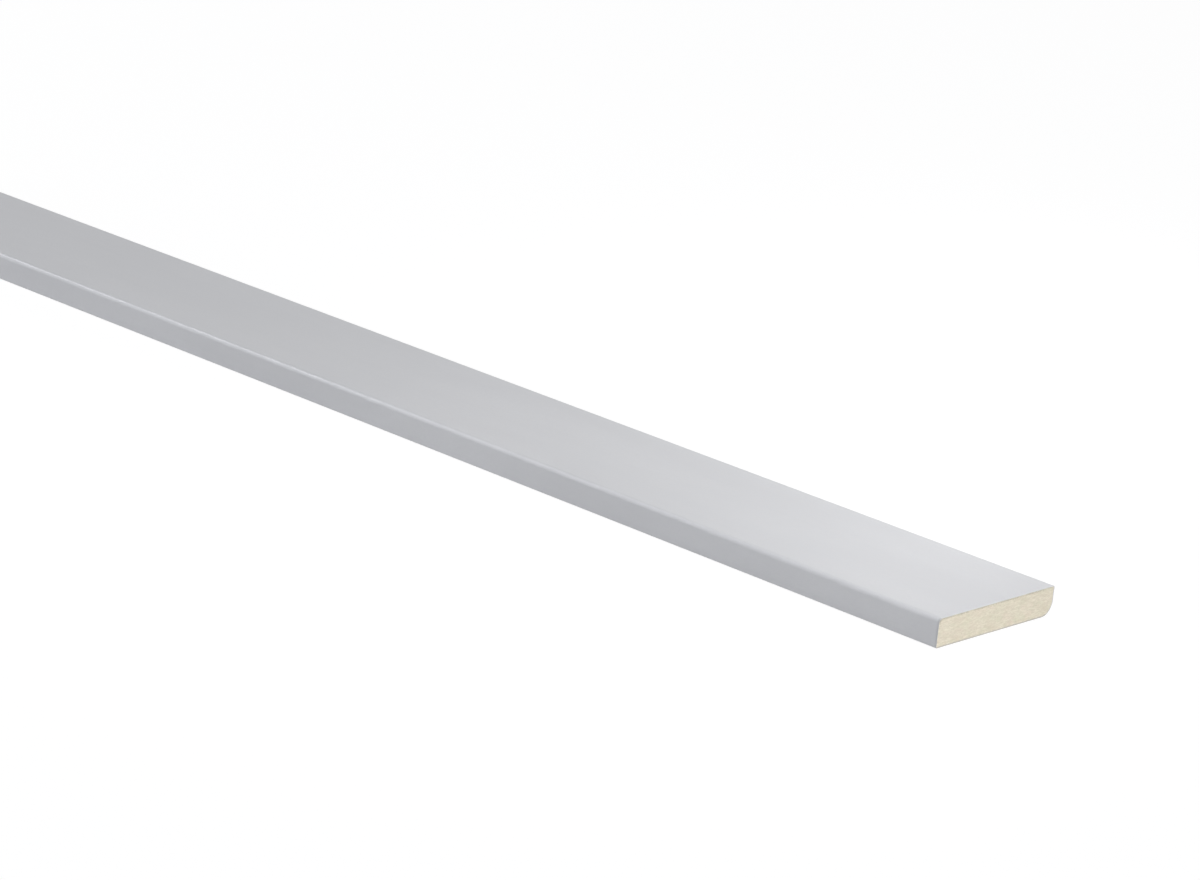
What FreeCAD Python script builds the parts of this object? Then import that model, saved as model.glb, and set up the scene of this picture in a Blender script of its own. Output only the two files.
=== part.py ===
"""Architrave moulding: one length of planed and primed fibreboard trim.

The moulding lies on its back, face up. +X runs along its length, towards the end
with the fresh saw cut, +Y runs across its width, from the front edge to the rear
edge, and +Z points up out of the face. The origin is the middle of the back, on
the surface that the moulding lies on.
"""

import FreeCAD
import Part
import math
import os

# Driving dimensions, in millimetres.
LENGTH = 2440.0
WIDTH = 70.0
THICKNESS = 12.0

# Radii of the four long edges. The face is sanded soft along the front edge, and
# the rear edge is rounded over half of the thickness, on the side of the back.
FRONT_FACE_RADIUS = 2.0
REAR_FACE_RADIUS = 1.0
REAR_BACK_RADIUS = 6.0
FRONT_BACK_RADIUS = 0.5

# The least flat that a round leaves on the side that it cuts into.
LEAST_FLAT = 0.2


def fitted_radius(radius, opposite_radius):
    """The radius, limited by the thickness that the round at the other end of its edge leaves."""
    return min(radius, THICKNESS - opposite_radius - LEAST_FLAT)


def rounded_corner(before, corner, after, radius):
    """Start, middle and end of the arc that rounds a corner between its two neighbours."""
    back = (before - corner).normalize()
    onward = (after - corner).normalize()
    half_angle = back.getAngle(onward) / 2
    setback = radius / math.tan(half_angle)
    inward = (back + onward).normalize()
    middle = corner + inward * (radius / math.sin(half_angle) - radius)
    return corner + back * setback, middle, corner + onward * setback


def rounded_outline(corners):
    """Closed wire through (point, radius) corners, with straight sides and tangent arcs."""
    points = [point for point, radius in corners]
    arcs = []
    for i, (point, radius) in enumerate(corners):
        following = points[(i + 1) % len(points)]
        arcs.append(rounded_corner(points[i - 1], point, following, radius))
    edges = []
    for i, (start, middle, end) in enumerate(arcs):
        next_start = arcs[(i + 1) % len(arcs)][0]
        edges.append(Part.Arc(start, middle, end).toShape())
        edges.append(Part.LineSegment(end, next_start).toShape())
    return Part.Wire(edges)


def section(x):
    """The moulding's cross-section, as a wire in the plane at x."""
    front = -WIDTH / 2
    rear = WIDTH / 2
    front_back = FreeCAD.Vector(x, front, 0)
    rear_back = FreeCAD.Vector(x, rear, 0)
    rear_face = FreeCAD.Vector(x, rear, THICKNESS)
    front_face = FreeCAD.Vector(x, front, THICKNESS)
    return rounded_outline([
        (front_back, FRONT_BACK_RADIUS),
        (rear_back, fitted_radius(REAR_BACK_RADIUS, REAR_FACE_RADIUS)),
        (rear_face, REAR_FACE_RADIUS),
        (front_face, fitted_radius(FRONT_FACE_RADIUS, FRONT_BACK_RADIUS)),
    ])


def architrave_moulding():
    """The whole length: its section, run from one square-cut end to the other."""
    profile = Part.Face(section(-LENGTH / 2))
    return profile.extrude(FreeCAD.Vector(LENGTH, 0, 0))


parts = {
    "architrave_moulding": architrave_moulding(),
}

os.makedirs("parts", exist_ok=True)
for name, shape in parts.items():
    shape.exportStep(f"parts/{name}.step")
    box = shape.BoundBox
    print(f"{name}: valid {shape.isValid()}, solids {len(shape.Solids)}, "
          f"size {box.XLength:.2f} x {box.YLength:.2f} x {box.ZLength:.2f} mm, "
          f"volume {shape.Volume / 1000:.1f} cm3")
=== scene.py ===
"""The looks of one length of architrave moulding, in a plain white studio.

The moulding is one mesh: a skin of white primer that runs from end to end, and two
sawn ends where the bare fibreboard shows inside the thin edge of the primer. Lengths
are in metres, in the moulding's own frame: +X along it, +Y from the front edge to
the rear edge, and +Z out of the face.
"""

import math
import random

import bpy
from mathutils import Matrix, Vector, noise


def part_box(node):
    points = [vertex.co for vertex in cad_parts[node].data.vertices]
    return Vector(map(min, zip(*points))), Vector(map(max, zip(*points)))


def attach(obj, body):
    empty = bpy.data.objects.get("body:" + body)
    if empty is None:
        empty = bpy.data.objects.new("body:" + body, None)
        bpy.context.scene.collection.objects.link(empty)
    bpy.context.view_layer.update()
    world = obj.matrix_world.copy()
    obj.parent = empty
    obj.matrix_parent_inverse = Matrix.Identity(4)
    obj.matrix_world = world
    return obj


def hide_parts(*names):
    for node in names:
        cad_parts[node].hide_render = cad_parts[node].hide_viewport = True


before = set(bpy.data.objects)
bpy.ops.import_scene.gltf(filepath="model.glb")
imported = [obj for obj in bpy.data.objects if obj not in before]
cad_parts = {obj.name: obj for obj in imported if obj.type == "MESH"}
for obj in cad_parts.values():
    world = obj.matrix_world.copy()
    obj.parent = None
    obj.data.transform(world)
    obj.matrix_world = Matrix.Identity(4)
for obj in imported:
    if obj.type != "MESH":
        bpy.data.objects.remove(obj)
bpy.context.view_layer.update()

MM = 0.001
QUARTER_TURN = math.pi / 2

NODE = "architrave_moulding"
low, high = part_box(NODE)
FRONT, REAR = low.y, high.y
LEFT, RIGHT = low.x, high.x
WIDTH = REAR - FRONT
LENGTH = RIGHT - LEFT
THICKNESS = high.z - low.z

# Radii of the four long edges, and the steps that each round is drawn with.
FRONT_FACE_RADIUS, FRONT_FACE_STEPS = 2.0 * MM, 12
REAR_FACE_RADIUS, REAR_FACE_STEPS = 1.0 * MM, 8
REAR_BACK_RADIUS, REAR_BACK_STEPS = 6.0 * MM, 18
FRONT_BACK_RADIUS, FRONT_BACK_STEPS = 0.5 * MM, 6

# Each long side of the section: its height, which way it faces, and the radii and
# steps of its front round and its rear round.
FACE = (high.z, 1, FRONT_FACE_RADIUS, REAR_FACE_RADIUS, FRONT_FACE_STEPS, REAR_FACE_STEPS)
BACK = (low.z, -1, FRONT_BACK_RADIUS, REAR_BACK_RADIUS, FRONT_BACK_STEPS, REAR_BACK_STEPS)

# Spacing of the mesh: across the flats, beside each round, on the sawn ends, and along.
FLAT_STEP = 9.0 * MM
BESIDE_ROUND = 0.3 * MM
GRAIN_STEP = 0.36 * MM
STATION_STEP = 5.0 * MM
LEAST_STEP = 0.1 * MM
COLUMN_DIGITS = 7

# Edges that turn more sharply than this stay sharp.
SHARP_TURN = math.radians(30)

# Which material a face of the mesh has.
PRIMER, BARE = 0, 1

# The sawn end: the skin's broken edge, and the thin edge of the primer, which differs
# from side to side and is torn back a little less on its inside.
EDGE_BREAK = 0.07 * MM
FILM = 0.27 * MM
FRONT_FILM = 0.11 * MM
REAR_FILM = 0.6 * MM
BACK_FILM = 0.09 * MM
FILM_INSIDE_FRAY = 0.7

# How deep the saw tears that edge back: a mean share, and two sizes of unevenness.
# Each noise over the section is cut from its own slice, so that the ends differ.
FRAY_DEPTH = 0.10 * MM
FRAY_MEAN = 0.25
FRAY_COARSE_SIZE, FRAY_COARSE_SHARE, FRAY_COARSE_SLICE = 1.6 * MM, 0.55, 7.3
FRAY_FINE_SIZE, FRAY_FINE_SHARE, FRAY_FINE_SLICE = 0.5 * MM, 0.45, 3.1

# The bare core, which the saw leaves a little lower: its fibres, and the arcs of the
# blade's teeth round a centre below the back.
CORE_RECESS = 0.06 * MM
FIBRE_DEPTH = 0.03 * MM
FIBRE_LENGTH, FIBRE_WIDTH, FIBRE_SLICE = 1.3 * MM, 0.5 * MM, 11.7
FIBRE_FRACTAL = (0.8, 2.1, 4)
SAW_RADIUS = 128 * MM
SAW_PITCH = 1.7 * MM
SAW_DEPTH = 0.012 * MM
BLADE_CENTRE = Vector((REAR - 12 * MM, -0.97 * SAW_RADIUS))

# Where the fine outline of the end gives way to the plainer one of the skin.
FINE_END = 0.8 * MM
PLAIN_START = 2.4 * MM

# The sprayed coat gathers unevenly along the front arris.
WAVE_HEIGHT = 0.07 * MM
WAVE_LENGTH = 22 * MM
WAVE_TURN = 0.35
WAVE_SLICE = 0.5
WAVE_FRACTAL = (0.9, 2.0, 3)

# It also has small nibs and dents there. A turn is a share of the way round the arris.
NIB_SEED = 41
NIB_COUNT = 32
NIB_TURNS = (0.25, 0.75)
NIB_LENGTHS = (0.5 * MM, 1.6 * MM)
NIB_HEIGHTS = (-0.10 * MM, 0.12 * MM)
NIB_TURN_SPREAD = 0.22
NIB_END = 3
NIB_STEP = 0.4
NIB_REACH = 6

# The texture map: the skin unrolled in a few lengths, stacked, and both sawn ends above.
MAP_NAME = "OFBake"
MAP_LENGTHS = 4
MAP_LENGTH_RISE = 0.2225
MAP_ENDS_BASE = 0.90
MAP_EDGE = 0.012
MAP_GAP = 0.02
MAP_HALF = 0.5
HALF_WAY = 0.5


def rim_point(y, side):
    """The outline's point at y on one long side of the section, and its outward normal."""
    height, out, front_radius, rear_radius = side[:4]
    from_front, from_rear = y - FRONT, REAR - y
    if from_front < front_radius:
        radius, level, across = front_radius, 1 - from_front / front_radius, -1
    elif from_rear < rear_radius:
        radius, level, across = rear_radius, 1 - from_rear / rear_radius, 1
    else:
        radius, level, across = 0.0, 0.0, 1
    upright = math.sqrt(max(0.0, 1 - level ** 2))
    point = Vector((y, height - out * radius * (1 - upright)))
    return point, Vector((across * level, out * upright))


def round_columns(edge, inward, radius, steps):
    """Where a round's points lie across the width, evenly spaced along its arc."""
    turns = [QUARTER_TURN * k / steps for k in range(steps + 1)]
    return [edge + inward * radius * (1 - math.cos(turn)) for turn in turns]


def plain_columns(side):
    """The columns that the long skin keeps on one side of the section."""
    front_radius, rear_radius, front_steps, rear_steps = side[2:]
    first = FRONT + front_radius + BESIDE_ROUND
    last = REAR - rear_radius - BESIDE_ROUND
    count = round((last - first) / FLAT_STEP)
    flat = [first + (last - first) * k / count for k in range(count + 1)]
    front_round = round_columns(FRONT, 1, front_radius, front_steps)
    rear_round = round_columns(REAR, -1, rear_radius, rear_steps)
    return front_round + flat + rear_round


def column_key(y):
    """A column's place, rounded so that it can be looked up."""
    return round(y, COLUMN_DIGITS)


def all_columns():
    """Every column of the sawn end's grid, from front to rear, and those kept on each side."""
    kept = {side: {column_key(y) for y in plain_columns(side)} for side in (FACE, BACK)}
    columns = sorted(kept[FACE] | kept[BACK])
    count = round(WIDTH / GRAIN_STEP)
    for k in range(count):
        y = FRONT + WIDTH * k / count
        if min(abs(y - other) for other in columns) > GRAIN_STEP / 2:
            columns.append(y)
            columns.sort()
    return columns, kept


class Outline:
    """The section's outline, once round from the foot of the front edge.

    Each entry has its point, its outward normal, and whether the long skin keeps it.
    The back and the face have a step for each column, and the two edges one for each row.
    """

    def __init__(self):
        columns, kept = all_columns()
        self.rows = round(THICKNESS / GRAIN_STEP)
        self.columns = len(columns) - 1
        back = [rim_point(y, BACK) for y in columns]
        face = [rim_point(y, FACE) for y in columns]
        kept_rows = {1, self.rows // 2, self.rows - 1}
        self.points = []
        for (point, normal), y in zip(back, columns):
            self.points.append((point, normal, column_key(y) in kept[BACK]))
        for j in range(1, self.rows):
            point = back[-1][0].lerp(face[-1][0], j / self.rows)
            self.points.append((point, Vector((1, 0)), j in kept_rows))
        for (point, normal), y in reversed(list(zip(face, columns))):
            self.points.append((point, normal, column_key(y) in kept[FACE]))
        for j in range(self.rows - 1, 0, -1):
            point = back[0][0].lerp(face[0][0], j / self.rows)
            self.points.append((point, Vector((-1, 0)), j in kept_rows))

    def around(self):
        """How far round the outline each point lies, as a share of the whole way."""
        points = self.inset(0)
        pairs = zip(points, points[1:] + points[:1])
        steps = [(following - point).length for point, following in pairs]
        whole = sum(steps)
        return [sum(steps[:i]) / whole for i in range(len(points))]

    def inset(self, depth):
        """The outline's points, moved in by a depth along their normals."""
        return [point - normal * depth for point, normal, kept in self.points]

    def inside_film(self, more=0.0):
        """The outline's points, moved in by the primer's thickness on each side."""
        found = []
        for point, normal, kept in self.points:
            thickness = FILM
            thickness += (FRONT_FILM - FILM) * max(0.0, -normal.x) ** 2
            thickness += (REAR_FILM - FILM) * max(0.0, normal.x) ** 2
            thickness += (BACK_FILM - FILM) * max(0.0, -normal.y) ** 2
            found.append(point - normal * (thickness + more))
        return found

    def corner_indices(self):
        """Where the outline's runs along the back, the rear edge and the face start."""
        return 0, self.columns, self.columns + self.rows


class Mesh:
    """Points and faces as they are gathered, with each face's material.

    A point of the skin also has its share of the way round the section.
    """

    def __init__(self):
        self.points, self.around, self.faces, self.materials = [], [], [], []

    def add_ring(self, points, around=None):
        """Adds points, and returns where they are in the list."""
        start = len(self.points)
        self.points.extend(points)
        self.around.extend(around or [None] * len(points))
        return list(range(start, len(self.points)))

    def add_face(self, corners, material):
        self.faces.append(corners)
        self.materials.append(material)

    def bridge(self, ring, other, material):
        """Quads between two rings that have the same number of points."""
        for i in range(len(ring)):
            k = (i + 1) % len(ring)
            self.add_face((ring[i], ring[k], other[k], other[i]), material)

    def thin_out(self, fine, kept, plain, material):
        """Faces between a fine ring and a plainer one, which has the fine ring's kept points."""
        count = len(fine)
        for n, (corner, following) in enumerate(zip(plain, plain[1:] + plain[:1])):
            start = kept[n]
            steps = (kept[(n + 1) % len(kept)] - start) % count
            run = [fine[(start + k) % count] for k in range(steps + 1)]
            middle = steps // 2
            for k in range(middle):
                self.add_face((corner, run[k], run[k + 1]), material)
            self.add_face((corner, run[middle], following), material)
            for k in range(middle, steps):
                self.add_face((following, run[k], run[k + 1]), material)


def skin_place(point, around, length):
    """Where a point of the skin lies on the texture map, in one of the stacked lengths."""
    along = (point.x - LEFT) / LENGTH * MAP_LENGTHS - length
    up = length + MAP_GAP + around * (1 - 2 * MAP_GAP)
    return MAP_EDGE + along * (1 - 2 * MAP_EDGE), up * MAP_LENGTH_RISE


def end_place(point):
    """Where a point of a sawn end lies on the texture map, with the two ends side by side."""
    scale = (MAP_HALF - 2 * MAP_EDGE) / WIDTH
    start = MAP_EDGE + (MAP_HALF if point.x > 0 else 0.0)
    return start + (point.y - FRONT) * scale, MAP_ENDS_BASE + (point.z - low.z) * scale


def map_places(mesh, corners):
    """The texture map's places for one face's corners.

    A face that crosses the seam has corners at both ends of the way round, and those
    just past the seam are counted on from the whole way.
    """
    points = [mesh.points[i] for i in corners]
    around = [mesh.around[i] for i in corners]
    if None in around:
        return [end_place(point) for point in points]
    middle = sum(point.x for point in points) / len(points)
    length = min(int((middle - LEFT) / LENGTH * MAP_LENGTHS), MAP_LENGTHS - 1)
    crosses_seam = max(around) - min(around) > HALF_WAY
    unrolled = [share + 1 if crosses_seam and share < HALF_WAY else share for share in around]
    return [skin_place(point, share, length) for point, share in zip(points, unrolled)]


def placed(points, x, depths=None):
    """Points of the section stood up at x. Depths are taken towards the middle of the length."""
    inward = -math.copysign(1, x)
    depths = depths or [0.0] * len(points)
    pairs = zip(points, depths)
    return [Vector((x + inward * depth, point.x, point.y)) for point, depth in pairs]


def section_noise(point, size, at_slice):
    """Noise over the section, from about -1 to 1, with features of this size."""
    return noise.noise(Vector((point.x / size, point.y / size, at_slice)))


def fray(point, end):
    """How far the saw has torn the primer's edge back at a point of the outline."""
    coarse = section_noise(point, FRAY_COARSE_SIZE, FRAY_COARSE_SLICE * end)
    fine = section_noise(point, FRAY_FINE_SIZE, FRAY_FINE_SLICE * end)
    share = FRAY_MEAN + FRAY_COARSE_SHARE * coarse + FRAY_FINE_SHARE * fine
    return FRAY_DEPTH * max(0.0, share)


def saw_relief(point, end):
    """How far the sawn fibreboard lies below the end, at a point of the section."""
    place = Vector((point.x / FIBRE_LENGTH, point.y / FIBRE_WIDTH, FIBRE_SLICE * end))
    fibre = FIBRE_DEPTH * noise.fractal(place, *FIBRE_FRACTAL)
    tooth = SAW_DEPTH * math.sin(2 * math.pi * (point - BLADE_CENTRE).length / SAW_PITCH)
    return CORE_RECESS + max(-CORE_RECESS, fibre + tooth)


def add_end(mesh, outline, x):
    """The sawn end at x. Returns the fine ring that the skin starts from."""
    end = math.copysign(1, x)
    frays = [fray(point, end) for point, normal, kept in outline.points]
    skin_depths = [EDGE_BREAK + depth for depth in frays]
    inside_depths = [FILM_INSIDE_FRAY * depth for depth in frays]
    start = mesh.add_ring(placed(outline.inset(0), x, skin_depths), outline.around())
    film_outside = mesh.add_ring(placed(outline.inset(EDGE_BREAK), x, frays))
    film_inside = mesh.add_ring(placed(outline.inside_film(), x, inside_depths))
    core_points = outline.inside_film(more=CORE_RECESS)
    core_depths = [saw_relief(point, end) for point in core_points]
    core_edge = mesh.add_ring(placed(core_points, x, core_depths))
    mesh.bridge(start, film_outside, PRIMER)
    mesh.bridge(film_outside, film_inside, PRIMER)
    mesh.bridge(film_inside, core_edge, BARE)
    add_core(mesh, outline, core_points, core_edge, x, end)
    return start


def add_core(mesh, outline, edge_points, edge_ring, x, end):
    """The grid of bare fibreboard that fills the ring inside the primer's edge."""
    rows, columns = outline.rows, outline.columns
    back, rear, face = outline.corner_indices()
    size = len(edge_ring)
    grid = []
    for i in range(columns + 1):
        column = [edge_ring[back + i]]
        foot, head = edge_points[back + i], edge_points[face + columns - i]
        for j in range(1, rows):
            if i == 0:
                column.append(edge_ring[(size - j) % size])
            elif i == columns:
                column.append(edge_ring[rear + j])
            else:
                point = foot.lerp(head, j / rows)
                column += mesh.add_ring(placed([point], x, [saw_relief(point, end)]))
        column.append(edge_ring[face + columns - i])
        grid.append(column)
    for column, following in zip(grid, grid[1:]):
        for j in range(rows):
            mesh.add_face((column[j], following[j], following[j + 1], column[j + 1]), BARE)


def arris_nibs():
    """Nibs and dents on the front arris: the place along, the turn, the length and the height."""
    draw = random.Random(NIB_SEED)
    nibs = []
    for k in range(NIB_COUNT):
        along = LEFT + LENGTH * (k + draw.random()) / NIB_COUNT
        drawn = [draw.uniform(*span) for span in (NIB_TURNS, NIB_LENGTHS, NIB_HEIGHTS)]
        nibs.append((along, *drawn))
    return nibs


def stations(nibs):
    """Where along the length the skin has a ring, closer together at each nib."""
    first, last = LEFT + PLAIN_START, RIGHT - PLAIN_START
    count = round((last - first) / STATION_STEP)
    found = [first + (last - first) * k / count for k in range(count + 1)]
    for along, turn, length, height in nibs:
        found += [along + NIB_STEP * length * k for k in range(-NIB_REACH, NIB_REACH + 1)]
    kept = [first]
    for x in sorted(found):
        if x - kept[-1] > LEAST_STEP and x <= last:
            kept.append(x)
    return kept


def skin_lift(x, normal, nibs):
    """How far the coat on the front arris stands out of the plain section, or falls short."""
    on_arris = normal.x < 0 and normal.y > 0
    if not on_arris:
        return 0.0
    turn = math.atan2(normal.y, -normal.x) / QUARTER_TURN
    fullness = math.sin(math.pi * turn) ** 2
    wave = noise.fractal(Vector((x / WAVE_LENGTH, WAVE_TURN * turn, WAVE_SLICE)), *WAVE_FRACTAL)
    lift = WAVE_HEIGHT * wave * fullness
    for along, centre, length, height in nibs:
        if abs(x - along) < NIB_END * length:
            away = ((x - along) / length) ** 2 + ((turn - centre) / NIB_TURN_SPREAD) ** 2
            lift += height * fullness * math.exp(-away)
    return lift


def moulding_mesh():
    """The whole moulding as one closed mesh."""
    mesh = Mesh()
    outline = Outline()
    kept = [i for i, entry in enumerate(outline.points) if entry[2]]
    plain = [outline.points[i] for i in kept]
    around = outline.around()
    plain_around = [around[i] for i in kept]
    nibs = arris_nibs()
    rings = []
    for x in stations(nibs):
        points = [point + normal * skin_lift(x, normal, nibs) for point, normal, keep in plain]
        rings.append(mesh.add_ring(placed(points, x), plain_around))
    for ring, following in zip(rings, rings[1:]):
        mesh.bridge(ring, following, PRIMER)
    for x, last_ring in ((LEFT, rings[0]), (RIGHT, rings[-1])):
        start = add_end(mesh, outline, x)
        fine = mesh.add_ring(placed(outline.inset(0), x, [FINE_END] * len(start)), around)
        mesh.bridge(start, fine, PRIMER)
        mesh.thin_out(fine, kept, last_ring, PRIMER)
    return mesh


def make_moulding(materials):
    """The moulding as an object, with its skin smooth and its sawn edges sharp."""
    gathered = moulding_mesh()
    data = bpy.data.meshes.new("moulding")
    data.from_pydata(gathered.points, [], gathered.faces)
    for material in materials:
        data.materials.append(material)
    data.polygons.foreach_set("material_index", gathered.materials)
    data.update()
    piece = bpy.data.objects.new("moulding", data)
    bpy.context.scene.collection.objects.link(piece)
    bpy.context.view_layer.objects.active = piece
    bpy.ops.object.mode_set(mode="EDIT")
    bpy.ops.mesh.select_all(action="SELECT")
    bpy.ops.mesh.normals_make_consistent(inside=False)
    bpy.ops.object.mode_set(mode="OBJECT")
    places = data.uv_layers.new(name=MAP_NAME).data
    for face in data.polygons:
        for loop, place in zip(face.loop_indices, map_places(gathered, face.vertices)):
            places[loop].uv = place
    data.shade_smooth()
    data.set_sharp_from_angle(angle=SHARP_TURN)
    return piece


class Nodes:
    """A material's nodes, with a short call for each kind that the materials use."""

    def __init__(self, name):
        self.material = bpy.data.materials.new(name)
        self.material.use_nodes = True
        self.tree = self.material.node_tree
        self.tree.nodes.clear()
        self.place = self.add("ShaderNodeTexCoord").outputs["Object"]

    def add(self, kind, **settings):
        node = self.tree.nodes.new(kind)
        for name, value in settings.items():
            setattr(node, name, value)
        return node

    def feed(self, socket, value):
        """Links a socket to an output, or sets it to a plain value."""
        if isinstance(value, bpy.types.NodeSocket):
            self.tree.links.new(value, socket)
        else:
            socket.default_value = value

    def scaled(self, scale):
        """The place on the object, counted in features per metre along each axis."""
        node = self.add("ShaderNodeMapping")
        self.feed(node.inputs["Vector"], self.place)
        self.feed(node.inputs["Scale"], scale)
        return node.outputs["Vector"]

    def noise(self, scale, detail=2.0, rough=0.5):
        """Noise from 0 to 1, with so many features per metre along each axis."""
        node = self.add("ShaderNodeTexNoise")
        self.feed(node.inputs["Vector"], self.scaled(scale))
        self.feed(node.inputs["Scale"], 1.0)
        self.feed(node.inputs["Detail"], detail)
        self.feed(node.inputs["Roughness"], rough)
        return node.outputs["Fac"]

    def centred(self, value):
        """Noise that swings to both sides of 0, so that it leaves no step where it ends."""
        return self.math("SUBTRACT", value, 0.5)

    def spots(self, per_metre, radius, core, share):
        """Round spots in a share of the cells: 1 within the core's radius, 0 outside the spot's."""
        node = self.add("ShaderNodeTexVoronoi")
        self.feed(node.inputs["Vector"], self.scaled((per_metre,) * 3))
        self.feed(node.inputs["Scale"], 1.0)
        distance = node.outputs["Distance"]
        inside = self.ramp(distance, radius * per_metre, core * radius * per_metre)
        picked = self.math("LESS_THAN", self.split(node.outputs["Color"])[0], share)
        return self.math("MULTIPLY", inside, picked)

    def split(self, vector):
        node = self.add("ShaderNodeSeparateXYZ")
        self.feed(node.inputs[0], vector)
        return node.outputs

    def math(self, operation, *values):
        node = self.add("ShaderNodeMath", operation=operation)
        for socket, value in zip(node.inputs, values):
            self.feed(socket, value)
        return node.outputs[0]

    def ramp(self, value, start, stop, first=0.0, last=1.0):
        """A smooth change from the first value to the last, between the start and the stop."""
        node = self.add("ShaderNodeMapRange", interpolation_type="SMOOTHSTEP")
        for socket, number in zip(node.inputs, (value, start, stop, first, last)):
            self.feed(socket, number)
        return node.outputs[0]

    def fade(self, value, edge, inward, span, full=1.0):
        """The full value near an edge, fading to 0 over a span of distances in from it."""
        near, far = (edge + inward * distance for distance in span)
        if inward > 0:
            return self.ramp(value, near, far, full, 0.0)
        return self.ramp(value, far, near, 0.0, full)

    def mix(self, share, colour, other):
        node = self.add("ShaderNodeMix", data_type="RGBA")
        self.feed(node.inputs["Factor"], share)
        self.feed(node.inputs["A"], colour)
        self.feed(node.inputs["B"], other)
        return node.outputs["Result"]

    def bump(self, height, distance, normal=None):
        """A normal tilted by a height from 0 to 1, which stands for this real distance."""
        node = self.add("ShaderNodeBump")
        self.feed(node.inputs["Height"], height)
        self.feed(node.inputs["Distance"], distance)
        if normal:
            self.feed(node.inputs["Normal"], normal)
        return node.outputs["Normal"]

    def surface(self, **inputs):
        """The material, finished with one Principled shader."""
        shader = self.add("ShaderNodeBsdfPrincipled")
        for name, value in inputs.items():
            self.feed(shader.inputs[name.replace("_", " ")], value)
        output = self.add("ShaderNodeOutputMaterial")
        self.feed(output.inputs["Surface"], shader.outputs[0])
        return self.material


# The parts of a noise's range over which it comes in, from gently to firmly.
SOFT_RANGE = (0.25, 0.75)
MEDIUM_RANGE = (0.3, 0.7)
FIRM_RANGE = (0.35, 0.65)

# The primer's colours: where the coat is thin and where it is full, its streaks and its
# grain, its specks, and its front edge at the cut.
COAT_THIN = (0.653, 0.662, 0.675, 1)
COAT_FULL = (0.697, 0.706, 0.717, 1)
COAT_STREAKS = (0.680, 0.683, 0.690, 1)
COAT_GRAIN = (0.645, 0.654, 0.669, 1)
COAT_SPECKS = (0.55, 0.55, 0.55, 1)
COAT_AT_CUT = (0.43, 0.43, 0.44, 1)

# How much of those colours shows at the most.
STREAKS_SHARE = 0.35
GRAIN_SHARE = 0.25
SPECKS_SHARE = 0.35
CUT_SHARE = 0.6

# How many features per metre the primer's unevenness has: along, across and upwards.
CLOUDS = (9, 30, 30)
STREAKS = (3, 260, 260)
GRAIN = (700, 900, 900)
PEEL = (620, 760, 760)
RIPPLE = (40, 210, 210)
FUZZ = (520, 900, 900)
LUMPS = (190, 340, 340)
LUMP_PATCHES = (28, 20, 20)

# Its specks: the cells per metre, a speck's radius, the share of it that is full, and
# the share of the cells that have one.
SPECK_CELLS = 62
SPECK_RADIUS = 0.32 * MM
SPECK_CORE = 0.3
SPECK_ODDS = 0.35

# How high each of these stands.
PEEL_HEIGHT = 0.012 * MM
RIPPLE_HEIGHT = 0.02 * MM
FUZZ_HEIGHT = 0.08 * MM
LUMP_HEIGHT = 0.30 * MM
SPECK_HEIGHT = 0.04 * MM

# Where the marks of the edges fade: in from the cut and, there, in from the front edge;
# in from the front edge and from the rear edge; and down from the face.
CUT_FADE = (0.1 * MM, 1.3 * MM)
CUT_FRONT_FADE = (0.5 * MM, 2.0 * MM)
FRONT_FADE = (0.6 * MM, 3.4 * MM)
REAR_FADE = (5.0 * MM, 7.0 * MM)
ARRIS_FADE = (1.6 * MM, 4.0 * MM)

# The lumps come in patches, and between those this share of their height is left.
PATCH_RANGE = (0.42, 0.58)
LEAST_LUMPS = 0.3

# The coat's gloss: rougher where the clouds are strong, and to a lesser share the grain.
GLOSS_RANGE = (0.4, 1.1)
GRAIN_IN_GLOSS = 0.5
COAT_ROUGHNESS = (0.32, 0.40)
COAT_IOR = 1.5


def primer_colour(n, along, across, clouds, grain, specks):
    """The coat's colour: faintly cloudy and streaked, and darker at the front of the cut."""
    streaks = n.noise(STREAKS, detail=2)
    colour = n.mix(n.ramp(clouds, *MEDIUM_RANGE), COAT_THIN, COAT_FULL)
    colour = n.mix(n.ramp(streaks, *SOFT_RANGE, 0.0, STREAKS_SHARE), colour, COAT_STREAKS)
    colour = n.mix(n.ramp(grain, *MEDIUM_RANGE, 0.0, GRAIN_SHARE), colour, COAT_GRAIN)
    colour = n.mix(n.math("MULTIPLY", specks, SPECKS_SHARE), colour, COAT_SPECKS)
    at_cut = n.fade(n.math("ABSOLUTE", along), RIGHT, -1, CUT_FADE, CUT_SHARE)
    at_front = n.fade(across, FRONT, 1, CUT_FRONT_FADE)
    return n.mix(n.math("MULTIPLY", at_cut, at_front), colour, COAT_AT_CUT)


def primer_normal(n, across, height, specks):
    """The coat's relief: orange peel and specks, and raised fibres over the machined edges."""
    near_front = n.fade(across, FRONT, 1, FRONT_FADE)
    near_rear = n.fade(across, REAR, -1, REAR_FADE)
    on_edges = n.math("MAXIMUM", near_front, near_rear)
    on_arris = n.math("MULTIPLY", near_front, n.fade(height, THICKNESS, -1, ARRIS_FADE))
    patches = n.ramp(n.noise(LUMP_PATCHES, detail=1), *PATCH_RANGE, LEAST_LUMPS, 1.0)
    fuzz = n.math("MULTIPLY", n.centred(n.noise(FUZZ, detail=3, rough=0.6)), on_edges)
    in_patches = n.math("MULTIPLY", on_arris, patches)
    lumps = n.math("MULTIPLY", n.centred(n.noise(LUMPS, detail=1)), in_patches)
    normal = n.bump(n.noise(PEEL, detail=2), PEEL_HEIGHT)
    normal = n.bump(n.noise(RIPPLE, detail=1), RIPPLE_HEIGHT, normal)
    normal = n.bump(fuzz, FUZZ_HEIGHT, normal)
    normal = n.bump(lumps, LUMP_HEIGHT, normal)
    return n.bump(specks, SPECK_HEIGHT, normal)


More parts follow.
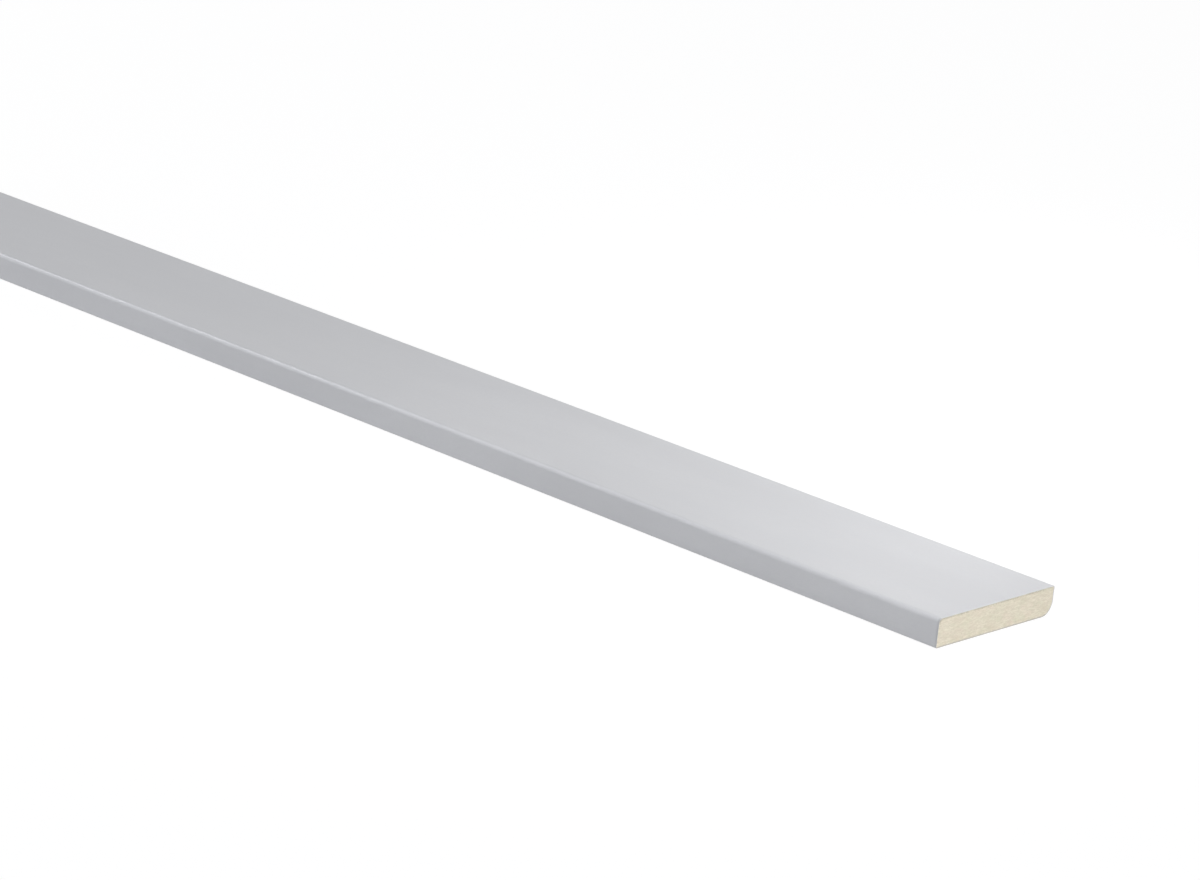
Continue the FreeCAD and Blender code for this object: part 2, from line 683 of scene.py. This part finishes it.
def primer_material():
    """Factory primer: a satin off-white coat.

    Over the machined edges the fibres have swollen under the coat and leave it rougher.
    """
    n = Nodes("primer")
    along, across, height = n.split(n.place)
    clouds = n.noise(CLOUDS, detail=3, rough=0.55)
    grain = n.noise(GRAIN, detail=3, rough=0.6)
    specks = n.spots(SPECK_CELLS, SPECK_RADIUS, SPECK_CORE, SPECK_ODDS)
    uneven = n.math("ADD", clouds, n.math("MULTIPLY", grain, GRAIN_IN_GLOSS))
    return n.surface(
        Base_Color=primer_colour(n, along, across, clouds, grain, specks),
        Roughness=n.ramp(uneven, *GLOSS_RANGE, *COAT_ROUGHNESS),
        Normal=primer_normal(n, across, height, specks),
        IOR=COAT_IOR,
    )


# The sawn fibreboard's colours: two tints of the core, its layers, its pressed clumps,
# its strands and its pores, the denser skin under the face with painted shade of the
# crevice under the coat's torn edge, and painted shade along the back.
CORE_GREENISH = (0.718, 0.702, 0.556, 1)
CORE_REDDISH = (0.768, 0.683, 0.576, 1)
CORE_LAYERS = (0.690, 0.650, 0.525, 1)
CORE_CLUMPS = (0.835, 0.790, 0.660, 1)
CORE_STRANDS = (0.640, 0.590, 0.465, 1)
CORE_PORES = (0.54, 0.48, 0.37, 1)
# Dense skin with painted shade of the crevice under the coat's torn edge.
FACE_SKIN_AND_SHADE = (0.42, 0.39, 0.31, 1)
# Painted shade along the back.
BACK_PAINTED_SHADE = (0.44, 0.42, 0.39, 1)

# How much of those colours shows at the most.
LAYERS_SHARE = 0.5
CLUMPS_SHARE = 0.75
STRANDS_SHARE = 0.75
PORES_SHARE = 0.4
FACE_SKIN_AND_SHADE_SHARE = 0.75
BACK_PAINTED_SHADE_SHARE = 0.85

# How many features per metre the fibreboard has: along, across and upwards.
TINTS = (170, 150, 330)
LAYERS = (60, 45, 260)
CLUMPS = (300, 150, 800)
STRANDS = (700, 420, 2000)
PORES = (1300, 1000, 2600)
RAGGED = (900, 900, 900)
GAPS = (150, 150, 150)

# Where the pores come in, and the gaps in the band of dense skin and painted shade under
# the face, which leave a share.
PORE_RANGE = (0.30, 0.42)
GAP_RANGE = (0.40, 0.56)
LEAST_SKIN_AND_SHADE = 0.45

STRAND_HEIGHT = 0.08 * MM
CORE_ROUGHNESS = 0.9
CORE_SPECULAR = 0.2

# How far the edges of the dense skin under the face and of the painted shade along the
# back wander, and the share of that at the back.
RAGGED_DEPTH = 0.3 * MM
RAGGED_BACK_SHARE = 0.4

# How far in from the front arris the band of dense skin and painted shade under the face
# turns with it.
ARRIS_REACH = FRONT_FACE_RADIUS + 0.4 * MM

# Where the band under the face and the painted shade along the back fade: with the depth
# under each, and with the height on the end, down from the face and up from the back.
FACE_SKIN_AND_SHADE_FADE = (0.40 * MM, 1.15 * MM)
BACK_PAINTED_SHADE_FADE = (0.20 * MM, 0.75 * MM)
TOP_FADE = (1.5 * MM, 3.0 * MM)
FOOT_FADE = (3.0 * MM, 6.0 * MM)


def depth_at_round(n, past_side, past_level, radius):
    """How deep a place lies under a round and the two flats beside it, down to the radius.

    The place is given by how far it lies past the centre of the round, towards each flat.
    """
    sideways = n.math("POWER", n.math("MAXIMUM", past_side, 0.0), 2.0)
    upright = n.math("POWER", n.math("MAXIMUM", past_level, 0.0), 2.0)
    return n.math("SUBTRACT", radius, n.math("SQRT", n.math("ADD", sideways, upright)))


def core_colour(n, strands):
    """Pale fibres pressed flat, in uneven tints, with pores between them."""
    share = n.ramp(n.noise(TINTS, detail=1), *FIRM_RANGE)
    colour = n.mix(share, CORE_GREENISH, CORE_REDDISH)
    share = n.ramp(n.noise(LAYERS, detail=1), *FIRM_RANGE, 0.0, LAYERS_SHARE)
    colour = n.mix(share, colour, CORE_LAYERS)
    share = n.ramp(n.noise(CLUMPS, detail=3), *FIRM_RANGE, 0.0, CLUMPS_SHARE)
    colour = n.mix(share, colour, CORE_CLUMPS)
    share = n.ramp(strands, *FIRM_RANGE, 0.0, STRANDS_SHARE)
    colour = n.mix(share, colour, CORE_STRANDS)
    pores = n.ramp(n.noise(PORES, detail=2), *PORE_RANGE, 1.0, 0.0)
    return n.mix(n.math("MULTIPLY", pores, PORES_SHARE), colour, CORE_PORES)


def skin_and_shade_under_face(n, across, height, raggedness):
    """How much the dense skin under the face shows, with painted shade of the crevice under
    the coat's torn edge, round the front arris too.
    """
    ragged_across = n.math("ADD", across, raggedness)
    ragged_height = n.math("ADD", height, raggedness)
    past_front = n.math("SUBTRACT", FRONT + ARRIS_REACH, ragged_across)
    past_face = n.math("SUBTRACT", ragged_height, THICKNESS - ARRIS_REACH)
    depth = depth_at_round(n, past_front, past_face, ARRIS_REACH)
    on_top = n.fade(height, THICKNESS, -1, TOP_FADE, FACE_SKIN_AND_SHADE_SHARE)
    gaps = n.ramp(n.noise(GAPS, detail=2), *GAP_RANGE, LEAST_SKIN_AND_SHADE, 1.0)
    return n.math("MULTIPLY", gaps, n.fade(depth, 0.0, 1, FACE_SKIN_AND_SHADE_FADE, on_top))


def painted_shade_over_back(n, across, height, raggedness):
    """How much painted shade shows along the back of the end, round the rear edge too."""
    past_rear = n.math("SUBTRACT", across, REAR - REAR_BACK_RADIUS)
    past_back = n.math("SUBTRACT", REAR_BACK_RADIUS, height)
    depth = depth_at_round(n, past_rear, past_back, REAR_BACK_RADIUS)
    ragged_depth = n.math("ADD", depth, n.math("MULTIPLY", raggedness, RAGGED_BACK_SHARE))
    low_down = n.fade(height, 0.0, 1, FOOT_FADE, BACK_PAINTED_SHADE_SHARE)
    return n.fade(ragged_depth, 0.0, 1, BACK_PAINTED_SHADE_FADE, low_down)


def bare_material():
    """Sawn fibreboard: its denser skin under the face, with painted shade of the crevice under
    the coat's torn edge, and painted shade along the back.
    """
    n = Nodes("bare_fibreboard")
    across, height = n.split(n.place)[1:]
    strands = n.noise(STRANDS, detail=4, rough=0.7)
    ragged = n.noise(RAGGED, detail=4, rough=0.7)
    raggedness = n.ramp(ragged, *MEDIUM_RANGE, -RAGGED_DEPTH, RAGGED_DEPTH)
    colour = core_colour(n, strands)
    # The denser skin under the face, darkened further with painted shade of the crevice.
    colour = n.mix(skin_and_shade_under_face(n, across, height, raggedness), colour, FACE_SKIN_AND_SHADE)
    # Painted shade along the back of the end and round its rear edge.
    colour = n.mix(painted_shade_over_back(n, across, height, raggedness), colour, BACK_PAINTED_SHADE)
    return n.surface(
        Base_Color=colour,
        Roughness=CORE_ROUGHNESS,
        Normal=n.bump(strands, STRAND_HEIGHT),
        Specular_IOR_Level=CORE_SPECULAR,
    )


def seen_share(tree, glow):
    """A value that is glow where the camera looks, directly or in a reflection, and else 0."""
    path = tree.nodes.new("ShaderNodeLightPath")
    total = path.outputs["Is Camera Ray"]
    for name in ("Is Glossy Ray", "Is Transmission Ray"):
        larger = tree.nodes.new("ShaderNodeMath")
        larger.operation = "MAXIMUM"
        tree.links.new(total, larger.inputs[0])
        tree.links.new(path.outputs[name], larger.inputs[1])
        total = larger.outputs[0]
    scaled = tree.nodes.new("ShaderNodeMath")
    scaled.operation = "MULTIPLY"
    tree.links.new(total, scaled.inputs[0])
    scaled.inputs[1].default_value = glow
    return scaled.outputs[0]


# The floor, a little under the moulding. Where the camera looks, it is mostly a white
# glow, and the rest is the matt colour, which keeps the shadow.
FLOOR_SIZE = 60
FLOOR_GAP = 0.1 * MM
FLOOR_GLOW = 0.8
FLOOR_WHITE = 1.15
FLOOR_COLOUR = (0.66, 0.66, 0.66, 1)


def make_floor():
    """A plain white floor, which keeps a soft shadow of the moulding."""
    material = bpy.data.materials.new("studio_floor")
    material.use_nodes = True
    tree = material.node_tree
    tree.nodes.clear()
    matt = tree.nodes.new("ShaderNodeBsdfDiffuse")
    matt.inputs["Color"].default_value = FLOOR_COLOUR
    white = tree.nodes.new("ShaderNodeEmission")
    white.inputs["Strength"].default_value = FLOOR_WHITE
    both = tree.nodes.new("ShaderNodeMixShader")
    output = tree.nodes.new("ShaderNodeOutputMaterial")
    tree.links.new(seen_share(tree, FLOOR_GLOW), both.inputs["Fac"])
    tree.links.new(matt.outputs[0], both.inputs[1])
    tree.links.new(white.outputs[0], both.inputs[2])
    tree.links.new(both.outputs[0], output.inputs["Surface"])
    half = FLOOR_SIZE / 2
    sides = ((-half, -half), (half, -half), (half, half), (-half, half))
    corners = [(x, y, low.z - FLOOR_GAP) for x, y in sides]
    data = bpy.data.meshes.new("floor")
    data.from_pydata(corners, [], [(0, 1, 2, 3)])
    data.materials.append(material)
    floor = bpy.data.objects.new("floor", data)
    bpy.context.scene.collection.objects.link(floor)
    return floor


SKY_LEVEL = 0.125
SKY_COLOUR = (0.955, 0.96, 1.0, 1)


def make_sky():
    """Even light from all round. What the camera sees of it is white."""
    world = bpy.data.worlds.new("studio")
    bpy.context.scene.world = world
    world.use_nodes = True
    tree = world.node_tree
    tree.nodes.clear()
    light = tree.nodes.new("ShaderNodeBackground")
    light.inputs["Color"].default_value = SKY_COLOUR
    light.inputs["Strength"].default_value = SKY_LEVEL
    white = tree.nodes.new("ShaderNodeBackground")
    both = tree.nodes.new("ShaderNodeMixShader")
    output = tree.nodes.new("ShaderNodeOutputWorld")
    tree.links.new(seen_share(tree, 1.0), both.inputs["Fac"])
    tree.links.new(light.outputs[0], both.inputs[1])
    tree.links.new(white.outputs[0], both.inputs[2])
    tree.links.new(both.outputs[0], output.inputs["Surface"])


# The tints of the lamps: bluish for most, and nearly plain white for the three round the
# right-hand end.
COOL = (0.955, 0.96, 1.0)
WARM = (1.0, 0.99, 0.99)


def make_softbox(name, place, aim, width, height, level, tint):
    """A soft lamp. Level is the share of full light on a surface that faces it at its aim."""
    place, aim = Vector(place), Vector(aim)
    lamp = bpy.data.lights.new(name, "AREA")
    lamp.shape = "RECTANGLE"
    lamp.size = width
    lamp.size_y = height
    lamp.color = tint
    lamp.energy = level * (math.pi * (aim - place).length) ** 2
    box = bpy.data.objects.new(name, lamp)
    box.location = place
    box.rotation_euler = (aim - place).to_track_quat("-Z", "Y").to_euler()
    box.visible_camera = False
    bpy.context.scene.collection.objects.link(box)


def make_lamps():
    """The lamps: where each one is, where it aims, its width, height and level, and its tint."""
    make_softbox("key_softbox", (-2.50, -1.25, 2.91), (0.85, 0, 0), 0.40, 0.60, 0.262, COOL)
    make_softbox("front_strip", (0.20, -1.30, 0.28), (0.2, 0, 0), 3.40, 0.50, 0.370, COOL)
    make_softbox("tall_softbox", (-1.93, -2.48, 1.18), (0.9, 0, 0), 0.80, 2.10, 0.125, COOL)
    make_softbox("left_softbox", (-0.71, 0.24, 2.50), (0.9, 0, 0), 0.40, 0.40, 0.080, COOL)
    make_softbox("rear_strip", (1.115, 0.23, 0.144), (0.704, 0, 0), 0.65, 0.12, 0.170, WARM)
    make_softbox("near_strip", (1.09, -0.06, 0.26), (1.05, 0, 0), 0.57, 0.17, 0.170, WARM)
    make_softbox("end_softbox", (3.38, 0.25, 0.55), (1.2, 0, 0), 0.70, 0.80, 0.600, WARM)
    make_softbox("rear_softbox", (2.40, 2.00, 1.00), (0.9, 0, 0), 1.20, 0.80, 0.130, COOL)


# The camera, fitted to the vanishing point of the long edges and the outline of the end.
CAMERA_AIM = Vector((0.99921, 0.00991, 0.012))
CAMERA_DISTANCE = 1.73626
CAMERA_AZIMUTH = math.radians(42.4042)
CAMERA_PITCH = math.radians(17.3133)
CAMERA_ROLL = math.radians(5.5393)
PHOTO_WIDTH = 1200
FOCAL_PIXELS = 4183.2
SENSOR_WIDTH = 36


def make_camera():
    """The camera at the photograph's viewing angle."""
    data = bpy.data.cameras.new("camera")
    data.sensor_width = SENSOR_WIDTH
    data.lens = SENSOR_WIDTH * FOCAL_PIXELS / PHOTO_WIDTH
    camera = bpy.data.objects.new("camera", data)
    turn = Matrix.Rotation(CAMERA_AZIMUTH, 4, "Z")
    tip = Matrix.Rotation(QUARTER_TURN - CAMERA_PITCH, 4, "X")
    roll = Matrix.Rotation(CAMERA_ROLL, 4, "Z")
    back_off = Matrix.Translation((0, 0, CAMERA_DISTANCE))
    camera.matrix_world = Matrix.Translation(CAMERA_AIM) @ turn @ tip @ roll @ back_off
    bpy.context.scene.collection.objects.link(camera)
    bpy.context.scene.camera = camera


moulding = make_moulding([primer_material(), bare_material()])
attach(moulding, "root")
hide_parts(NODE)

make_floor()
make_sky()
make_lamps()
make_camera()
bpy.context.scene.view_settings.view_transform = "Standard"
